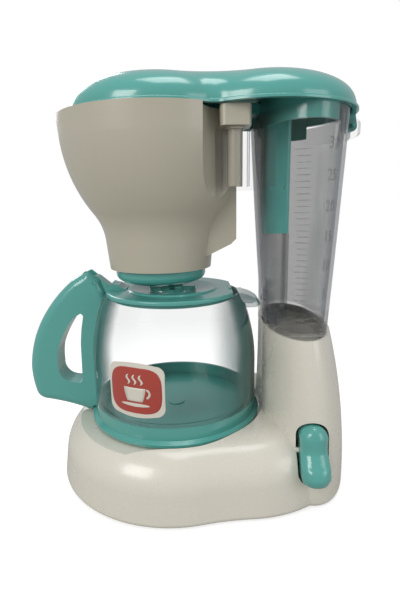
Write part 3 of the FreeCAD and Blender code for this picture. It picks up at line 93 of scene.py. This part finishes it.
def ramp(tree, fac, stops):
    made = add_node(tree, "ValToRGB", sources={"Fac": fac})
    points = made.color_ramp.elements
    while len(points) < len(stops):
        points.new(0.5)
    for point, (place, colour) in zip(points, stops):
        point.position = place
        point.color = (*colour, 1)
    return made.outputs["Color"]


def grey(value):
    return (value, value, value)


def shaded(colour, factor):
    return tuple(c * factor for c in colour)


def moulded_plastic(name, colour, rough, spread, bump=0.025, coat=0.25, scatter=0.0):
    """Injection-moulded plastic: faint flow clouding, an orange-peel skin and uneven gloss."""
    mat, tree, shader, coords = new_material(name)
    cloud = noise(tree, coords, 16, 3)
    tint = ramp(tree, cloud, [(0.3, shaded(colour, 1 - spread)), (0.7, shaded(colour, 1 + spread))])
    haze = noise(tree, coords, 70, 5, 0.65)
    gloss = ramp(tree, haze, [(0.25, grey(rough * 0.92)), (0.8, grey(rough * 1.12))])
    skin = noise(tree, coords, 140, 2)
    fine = noise(tree, coords, 1800, 2)
    mixed = add_node(tree, "Math", {1: 0.25}, {0: fine, 2: skin}, operation="MULTIPLY_ADD")
    relief = add_node(tree, "Bump", {"Strength": bump, "Distance": 0.0003}, {"Height": mixed.outputs["Value"]})
    feed(tree, shader, {"Coat Weight": coat, "Coat Roughness": 0.12, "IOR": 1.5},
         {"Base Color": tint, "Roughness": gloss, "Normal": relief.outputs["Normal"]})
    if scatter:
        feed(tree, shader, {"Subsurface Weight": scatter, "Subsurface Radius": (0.004, 0.003, 0.002)})
    return mat


def clear_wall(name, edge, centre, edge_alpha, centre_alpha, painted_shade=None, flat=0.5, knee=0.5):
    """A clear wall seen straight through, denser and tinted where it turns away.

    The sixth argument is (from, to, amount, axis), a painted shade: the wall gets denser, so darker, by the amount
    along the axis.
    flat is how much of its density a level face keeps, knee the edge's share halfway.
    """
    mat, tree, shader, coords = new_material(name)
    facing = add_node(tree, "LayerWeight", {"Blend": 0.42}).outputs["Facing"]
    streak = noise(tree, coords, 18, 4, 0.6)
    normal = add_node(tree, "NewGeometry").outputs["True Normal"]
    upright = add_node(tree, "SeparateXYZ", sources={"Vector": normal}).outputs["Z"]
    level = add_node(tree, "Math", sources={0: upright}, operation="ABSOLUTE").outputs["Value"]
    ease = add_node(tree, "MapRange", {"From Min": 0.5, "To Min": 1.0, "To Max": flat},
                    {"Value": level}).outputs["Result"]
    turned = add_node(tree, "Math", sources={0: facing, 1: ease}, operation="MULTIPLY").outputs["Value"]
    mixed = add_node(tree, "Math", {1: 0.1}, {0: streak, 2: turned},
                     operation="MULTIPLY_ADD").outputs["Value"]
    tint = ramp(tree, mixed, [(0.25, centre), (0.95, edge)])
    alpha = ramp(tree, mixed, [
        (0.1, grey(centre_alpha)), (0.4, grey(centre_alpha * 1.5)), (0.66, grey(edge_alpha * knee)),
        (1.0, grey(edge_alpha))])
    # Painted shade: more opacity, so a darker wall, along one axis.
    if painted_shade:
        start, end, amount, axis = painted_shade
        along = add_node(tree, "SeparateXYZ", sources={"Vector": coords}).outputs[axis]
        side = add_node(tree, "MapRange", {"From Min": start, "From Max": end, "To Max": amount},
                        {"Value": along}, interpolation_type="SMOOTHSTEP").outputs["Result"]
        eased = add_node(tree, "Math", sources={0: side, 1: ease}, operation="MULTIPLY").outputs["Value"]
        alpha = add_node(tree, "Math", sources={0: alpha, 1: eased}, operation="ADD",
                         use_clamp=True).outputs["Value"]
    haze = noise(tree, coords, 90, 4)
    gloss = ramp(tree, haze, [(0.3, grey(0.042)), (0.8, grey(0.108))])
    relief = add_node(tree, "Bump", {"Strength": 0.06, "Distance": 0.001}, {"Height": haze})
    feed(tree, shader, {"IOR": 1.55, "Coat Weight": 0.6, "Coat Roughness": 0.04},
         {"Base Color": tint, "Alpha": alpha, "Roughness": gloss, "Normal": relief.outputs["Normal"]})
    return mat


def brushed_metal(name, colour, rough):
    mat, tree, shader, coords = new_material(name)
    grain = noise(tree, coords, 900, 3)
    tint = ramp(tree, grain, [(0.3, shaded(colour, 0.8)), (0.7, colour)])
    gloss = ramp(tree, grain, [(0.3, grey(rough * 0.8)), (0.7, grey(rough * 1.3))])
    feed(tree, shader, {"Metallic": 1}, {"Base Color": tint, "Roughness": gloss})
    return mat


shell_white = moulded_plastic("shell_white", (0.66, 0.63, 0.55), 0.27, 0.012, bump=0.01, coat=0.35)
cream = moulded_plastic("cream_plastic", (0.45, 0.42, 0.335), 0.33, 0.015, coat=0.15, scatter=0.05)
teal = moulded_plastic("teal_plastic", (0.085, 0.345, 0.305), 0.22, 0.02, coat=0.5)
teal_inner = moulded_plastic("teal_inner", (0.075, 0.37, 0.33), 0.35, 0.03, coat=0.1)
rubber = moulded_plastic("foot_rubber", (0.03, 0.03, 0.03), 0.75, 0.2, bump=0.4, coat=0.0)
pump_grey = moulded_plastic("pump_grey", (0.12, 0.12, 0.12), 0.5, 0.1, coat=0.0)
hose = moulded_plastic("hose_clear", (0.55, 0.55, 0.5), 0.35, 0.06, coat=0.1)
cell_wrap = moulded_plastic("cell_wrap", (0.03, 0.03, 0.035), 0.3, 0.2, coat=0.3)
steel = brushed_metal("pin_steel", (0.55, 0.55, 0.56), 0.3)
sticker_paper = moulded_plastic("sticker_paper", (0.66, 0.62, 0.54), 0.35, 0.02, coat=0.2)
sticker_red = moulded_plastic("sticker_red", (0.38, 0.045, 0.03), 0.32, 0.04, coat=0.3)
# Painted shade on the tank: its wall gets denser, so a darker grey, towards the far side (+Y).
tank_clear = clear_wall("tank_clear", (0.085, 0.095, 0.13), (0.13, 0.13, 0.12), 0.75, 0.06,
                        painted_shade=(-0.01, 0.03, 0.33, "Y"), flat=0.12)
# Painted shade on the jug: its wall gets denser, so a darker green, towards +X, where the base's column stands
# behind it.
jug_clear = clear_wall("jug_clear", (0.055, 0.15, 0.14), (0.06, 0.18, 0.165), 0.9, 0.03,
                       painted_shade=(0.014, 0.042, 0.4, "X"), knee=0.72)
mark_clear = clear_wall("mark_clear", (0.05, 0.05, 0.06), (0.07, 0.07, 0.08), 0.5, 0.16)

looks = {
    "base_housing": shell_white, "base_cover": shell_white, "battery_door": shell_white,
    "rubber_feet": rubber, "base_screws": steel, "battery_cells": cell_wrap,
    "water_pump": pump_grey, "pump_hose": hose, "switch_pin": shell_white, "rocker_switch": teal,
    "water_tank": tank_clear, "riser_channel": teal_inner, "spray_arm": teal_inner,
    "basket_pin": cream, "lid_hinge_pin": teal, "top_lid": teal, "filter_basket": cream,
    "drip_cup": teal, "jug_base": teal, "jug_body": jug_clear, "jug_handle": teal,
    "jug_lid_pin": teal, "jug_sticker": sticker_paper, "jug_lid": teal,
}
for name, mat in looks.items():
    mesh = nodes[name].data
    mesh.materials.clear()
    mesh.materials.append(mat)


# Pieces and meshes

def place_in_scene(obj):
    bpy.context.scene.collection.objects.link(obj)
    return obj


def add_piece(name, mesh, body, mat):
    obj = place_in_scene(bpy.data.objects.new(name, mesh))
    mesh.materials.append(mat)
    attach(obj, body)
    return obj


def mesh_from(name, verts, faces, smooth=True):
    mesh = bpy.data.meshes.new(name)
    mesh.from_pydata([tuple(v) for v in verts], [], faces)
    mesh.validate()
    mesh.update()
    for face in mesh.polygons:
        face.use_smooth = smooth
    return mesh


def turn_outward(mesh, merge=0.0):
    """Merges points closer than the given distance, and turns every face outward."""
    bm = bmesh.new()
    bm.from_mesh(mesh)
    if merge:
        bmesh.ops.remove_doubles(bm, verts=bm.verts, dist=merge)
    bmesh.ops.recalc_face_normals(bm, faces=bm.faces)
    bm.to_mesh(mesh)
    bm.free()
    return mesh


def join(meshes, name):
    bm = bmesh.new()
    for mesh in meshes:
        bm.from_mesh(mesh)
    joined = bpy.data.meshes.new(name)
    bm.to_mesh(joined)
    bm.free()
    for face in joined.polygons:
        face.use_smooth = True
    return joined


# The rocker's paddle: a soft peanut form in the solid's place

PADDLE_DEPTHS = [  # share of the height, and Y of the crown's line
    (0.00, -0.0585), (0.06, -0.0640), (0.14, -0.0680), (0.24, -0.0689), (0.36, -0.0676), (0.48, -0.0640),
    (0.58, -0.0612), (0.68, -0.0606), (0.80, -0.0602), (0.90, -0.0592), (0.97, -0.0576), (1.00, -0.0555)]
PADDLE_CROWN = 0.0042
PADDLE_ROWS = 34
PADDLE_COLUMNS = 16


def paddle_depth(share):
    for (a, depth_a), (b, depth_b) in zip(PADDLE_DEPTHS, PADDLE_DEPTHS[1:]):
        if share <= b:
            t = (share - a) / (b - a)
            t = t * t * (3 - 2 * t)
            return depth_a + (depth_b - depth_a) * t
    return PADDLE_DEPTHS[-1][1]


def paddle_mesh():
    low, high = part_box("rocker_switch")
    mid_x = (low.x + high.x) / 2
    half_w = (high.x - low.x) / 2
    verts = []
    for i in range(PADDLE_ROWS + 1):
        share = 0.5 - 0.5 * math.cos(math.pi * i / PADDLE_ROWS)
        z = low.z + (high.z - low.z) * share
        reach = half_w
        end = min(z - low.z, high.z - z)
        if end < half_w:
            reach = math.sqrt(max(half_w ** 2 - (half_w - end) ** 2, 0)) + 0.0001
        waist = 1 - 0.05 * math.exp(-((share - 0.6) / 0.12) ** 2)
        for j in range(PADDLE_COLUMNS + 1):
            s = math.sin((-1 + 2 * j / PADDLE_COLUMNS) * math.pi / 2)
            crown = PADDLE_CROWN * abs(s) ** 2.6 * min(1, reach / half_w + 0.2)
            verts.append((mid_x + reach * waist * s, paddle_depth(share) + crown, z))
    wide = PADDLE_COLUMNS + 1
    faces = []
    for i in range(PADDLE_ROWS):
        for a in range(i * wide, i * wide + PADDLE_COLUMNS):
            faces.append((a, a + 1, a + wide + 1, a + wide))
    count = len(verts)
    rim = ([i * wide for i in range(PADDLE_ROWS, -1, -1)] + list(range(1, wide))
           + [i * wide + PADDLE_COLUMNS for i in range(1, PADDLE_ROWS + 1)]
           + [PADDLE_ROWS * wide + j for j in range(PADDLE_COLUMNS - 1, 0, -1)])
    for k in rim:
        x, _, z = verts[k]
        verts.append((x, high.y - 0.0004, z))
    for k in range(len(rim)):
        nxt = (k + 1) % len(rim)
        faces.append((rim[k], rim[nxt], count + nxt, count + k))
    faces.append(tuple(count + k for k in range(len(rim) - 1, -1, -1)))
    return turn_outward(mesh_from("rocker_paddle", verts, faces), merge=0.00005)


paddle = add_piece("rocker_paddle", paddle_mesh(), "switch", teal)
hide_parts("rocker_switch")

# Soft edges on the jug's handle

grip = nodes["jug_handle"]
plain = grip.modifiers.new("flat", "DECIMATE")
plain.decimate_type = "DISSOLVE"
plain.angle_limit = math.radians(1.5)
rounding = grip.modifiers.new("bevel", "BEVEL")
rounding.width = 0.0022
rounding.segments = 4
rounding.limit_method = "ANGLE"
rounding.angle_limit = math.radians(40)
rounding.harden_normals = False
for face in grip.data.polygons:
    face.use_smooth = True


# Thin plates bent onto the tank's oval wall and the jug's round wall

def on_tank(angle, z, out):
    """A point on the tank's wall: its ovals at three heights are joined by parabolas."""
    low, mid, high = TANK_LEVELS
    shares = ((z - mid) * (z - high) / ((low - mid) * (low - high)),
              (z - low) * (z - high) / ((mid - low) * (mid - high)),
              (z - low) * (z - mid) / ((high - low) * (high - mid)))
    half_x, half_y, middle = (sum(w * v for w, v in zip(shares, values))
                              for values in (TANK_HALF_X, TANK_HALF_Y, TANK_MIDDLE))
    x = middle + AXIS_X + half_x * math.cos(angle)
    y = half_y * math.sin(angle)
    normal = Vector((math.cos(angle) / half_x, math.sin(angle) / half_y, 0)).normalized()
    return Vector((x, y, z)) + normal * out


def on_jug(u, v, out):
    """A point on the jug's wall, across and up from the sticker's middle."""
    angle = STICKER_ANGLE + u / JUG_RADIUS
    z = STICKER_Z + v
    r = JUG_RADIUS + out
    if z > JUG_BELLY_Z:
        r -= JUG_SHOULDER_RADIUS - math.sqrt(JUG_SHOULDER_RADIUS ** 2 - (z - JUG_BELLY_Z) ** 2)
    return Vector((AXIS_X + r * math.cos(angle), r * math.sin(angle), z))


def plate(name, grid, place, out, thick):
    """A thin closed plate bent onto a wall, from a grid of (across, up) pairs."""
    rows = len(grid)
    wide = len(grid[0])
    layer = rows * wide
    verts = [place(u, v, lift) for lift in (out, out + thick) for row in grid for u, v in row]
    faces = []
    for i in range(rows - 1):
        for a in range(i * wide, (i + 1) * wide - 1):
            faces.append((a, a + wide, a + wide + 1, a + 1))
            faces.append((layer + a, layer + a + 1, layer + a + wide + 1, layer + a + wide))
    edge = (list(range(wide)) + [i * wide + wide - 1 for i in range(1, rows)]
            + [(rows - 1) * wide + j for j in range(wide - 2, -1, -1)]
            + [i * wide for i in range(rows - 2, 0, -1)])
    for a, b in zip(edge, edge[1:] + edge[:1]):
        faces.append((a, b, layer + b, layer + a))
    return turn_outward(mesh_from(name, verts, faces))


def rounded_grid(half_u, half_v, power, rows=22, cols=22, up=0):
    """A grid inside a superellipse, moved up by the given height."""
    grid = []
    for i in range(rows + 1):
        v = math.sin((-1 + 2 * i / rows) * math.pi / 2)
        reach = max(1 - abs(v) ** power, 0) ** (1 / power)
        grid.append([(half_u * reach * (-1 + 2 * j / cols), up + half_v * v) for j in range(cols + 1)])
    return grid


# Sticker: red field with a plain cup, three wisps and a saucer line, on the paper patch

STICKER_ANGLE = math.radians(248)
STICKER_Z = 0.0685
FIELD_OUT, FIELD_THICK = 0.00058, 0.00012
ART_OUT, ART_THICK = 0.00068, 0.0001

field = plate("sticker_field", rounded_grid(0.0156, 0.0132, 3.6), on_jug, FIELD_OUT, FIELD_THICK)
add_piece("sticker_field", field, "jug", sticker_red)

cup = [[(s * (0.0066 - 0.0020 * (1 - i / 8) ** 1.6), -0.0062 + 0.0080 * i / 8)
        for s in (-1, -0.6, -0.2, 0.2, 0.6, 1)] for i in range(9)]
art = [cup, rounded_grid(0.0090, 0.0010, 2.0, 6, 12, up=-0.0082)]
ear_angles = [math.radians(-70 + 14 * k) for k in range(11)]
for pair in zip(ear_angles, ear_angles[1:]):
    art.append([[(0.0062 + r * math.cos(a), -0.0012 + r * math.sin(a)) for r in (0.0020, 0.0032)] for a in pair])
for shift in (-0.0038, 0, 0.0038):
    wisp = []
    for i in range(9):
        t = i / 8
        u = shift + 0.0009 * math.sin(t * math.pi * 2)
        v = 0.0036 + 0.0056 * t
        half = 0.00055 * (0.35 + math.sin(math.pi * (0.1 + 0.8 * t)))
        wisp.append([(u - half, v), (u + half, v)])
    art.append(wisp)
art = [plate("art", grid, on_jug, ART_OUT, ART_THICK) for grid in art]
add_piece("sticker_art", join(art, "sticker_art"), "jug", sticker_paper)

# Moulded scale on the tank: fine lines, every fifth longer, and numbers from 5 to 30

TICK_START, TICK_END = math.radians(-110), math.radians(-96)
TICK_Z, TICK_STEP, TICK_WIDTH = 0.1035, 0.00306, 0.0005
DIGIT_ANGLE = math.radians(-68)
DIGIT_Z, DIGIT_STEP, DIGIT_HEIGHT = 0.1165, 0.01525, 0.0056
CAP_SHARE = 0.69  # a capital's height over the font's size

ticks = []
for k in range(30):
    z = TICK_Z + k * TICK_STEP
    start = TICK_START - (0.05 if k % 5 == 4 else 0)
    columns = [start + (TICK_END - start) * j / 8 for j in range(9)]
    ticks.append(plate("tick", [[(u, v) for u in columns] for v in (z, z + TICK_WIDTH)], on_tank, 0.0001, 0.00012))
add_piece("tank_scale", join(ticks, "tank_scale"), "base", mark_clear)


def digits_on_tank(text, z):
    """Raised figures, set flat as text and bent onto the tank's wall."""
    curve = bpy.data.curves.new("digits", "FONT")
    curve.body = text
    curve.size = DIGIT_HEIGHT / CAP_SHARE
    curve.align_x = "CENTER"
    curve.resolution_u = 4
    holder = place_in_scene(bpy.data.objects.new("digits_tmp", curve))
    bpy.context.view_layer.update()
    flat = bpy.data.meshes.new_from_object(holder)
    bpy.data.objects.remove(holder)
    bm = bmesh.new()
    bm.from_mesh(flat)
    bmesh.ops.subdivide_edges(bm, edges=[e for e in bm.edges if e.calc_length() > 0.002], cuts=1)
    top = bmesh.ops.extrude_face_region(bm, geom=bm.faces[:])
    raised = set(v for v in top["geom"] if isinstance(v, bmesh.types.BMVert))
    for vert in bm.verts:
        angle = DIGIT_ANGLE + vert.co.x / 0.030
        vert.co = on_tank(angle, z + vert.co.y, 0.0004 if vert in raised else 0.0001)
    bmesh.ops.recalc_face_normals(bm, faces=bm.faces)
    mesh = bpy.data.meshes.new("digits_" + text)
    bm.to_mesh(mesh)
    bm.free()
    return mesh


digits = [digits_on_tank(str(5 * (k + 1)), DIGIT_Z + DIGIT_STEP * k) for k in range(6)]
add_piece("tank_digits", join(digits, "tank_digits"), "base", mark_clear)


# Floor

def floor_material():
    """Pale floor that takes the shadow near the part and fades into the white backdrop."""
    mat, tree, shader, coords = new_material("floor_pale")
    feed(tree, shader, {"Base Color": (0.6, 0.6, 0.59, 1), "Roughness": 0.9, "Specular IOR Level": 0.0})
    reach = add_node(tree, "VectorMath", sources={0: coords}, operation="LENGTH").outputs["Value"]
    fade = add_node(tree, "MapRange", {"From Min": 0.14, "From Max": 0.34}, {"Value": reach}).outputs["Result"]
    white = add_node(tree, "Emission", {"Color": (1, 1, 1, 1)}).outputs["Emission"]
    lift = add_node(tree, "Emission", {"Color": (1, 1, 1, 1), "Strength": 0.62}).outputs["Emission"]
    both = add_node(tree, "AddShader", sources={0: shader.outputs["BSDF"], 1: lift}).outputs["Shader"]
    near = add_node(tree, "MixShader", sources={"Fac": fade, 1: both, 2: white}).outputs["Shader"]
    dim = add_node(tree, "BsdfDiffuse", {"Color": (0.45, 0.44, 0.42, 1)}).outputs["BSDF"]
    by_camera = add_node(tree, "LightPath").outputs["Is Camera Ray"]
    seen = add_node(tree, "MixShader", sources={"Fac": by_camera, 1: dim, 2: near}).outputs["Shader"]
    out = next(n for n in tree.nodes if n.type == "OUTPUT_MATERIAL")
    tree.links.new(seen, out.inputs["Surface"])
    return mat


FLOOR_RADIUS = 0.45
turns = [k * math.pi / 48 for k in range(96)]
ring = [(FLOOR_RADIUS * math.cos(a), FLOOR_RADIUS * math.sin(a), 0) for a in turns]
floor_mesh = mesh_from("floor", ring, [tuple(range(len(ring)))], False)
floor_mesh.materials.append(floor_material())
floor = place_in_scene(bpy.data.objects.new("floor", floor_mesh))

# Room light, with a white backdrop for the camera alone

world = bpy.data.worlds.new("studio")
bpy.context.scene.world = world
world.use_nodes = True
tree = world.node_tree
tree.nodes.clear()
room = add_node(tree, "Background", {"Color": (0.95, 0.97, 1.0, 1), "Strength": 0.5}).outputs["Background"]
white = add_node(tree, "Background", {"Color": (1, 1, 1, 1), "Strength": 1.0}).outputs["Background"]
by_camera = add_node(tree, "LightPath").outputs["Is Camera Ray"]
pick = add_node(tree, "MixShader", sources={"Fac": by_camera, 1: room, 2: white}).outputs["Shader"]
add_node(tree, "OutputWorld", sources={"Surface": pick})


# Lamps

def add_light(name, place, target, size_x, size_y, power, colour=(1, 1, 1)):
    lamp = bpy.data.lights.new(name, "AREA")
    lamp.shape = "RECTANGLE"
    lamp.size = size_x
    lamp.size_y = size_y
    lamp.energy = power
    lamp.color = colour
    obj = place_in_scene(bpy.data.objects.new(name, lamp))
    obj.location = place
    aim = Vector(target) - Vector(place)
    obj.rotation_euler = aim.to_track_quat("-Z", "Y").to_euler()


add_light("key_left", (-0.6, -0.75, 0.6), (0, 0, 0.08), 0.5, 0.5, 5.0, (1, 0.985, 0.96))
add_light("overhead", (0.1, -0.1, 1.2), (0.03, 0, 0.1), 0.6, 0.5, 4.0)
add_light("fill_right", (0.9, -0.6, 0.4), (0.03, 0, 0.1), 0.6, 0.6, 2.2)
add_light("back_left", (-0.5, 0.8, 0.6), (0, 0, 0.12), 0.5, 0.5, 3.0)

# Camera, fitted to the photograph

FOCAL_PX, IMAGE_WIDTH_PX = 430, 400
PITCH_DOWN, ROLL = 12.74, -0.99
CAMERA_PLACE = (0.016956 + AXIS_X, -0.26568, 0.16764)

cam_data = bpy.data.cameras.new("camera")
cam_data.sensor_fit = "HORIZONTAL"
cam_data.sensor_width = 36
cam_data.lens = cam_data.sensor_width * FOCAL_PX / IMAGE_WIDTH_PX
cam_data.clip_start = 0.01
camera = place_in_scene(bpy.data.objects.new("camera", cam_data))
camera.matrix_world = (Matrix.Translation(CAMERA_PLACE)
                       @ Matrix.Rotation(math.radians(90 - PITCH_DOWN), 4, "X")
                       @ Matrix.Rotation(math.radians(ROLL), 4, "Z"))
bpy.context.scene.camera = camera
bpy.context.scene.view_settings.view_transform = "Standard"
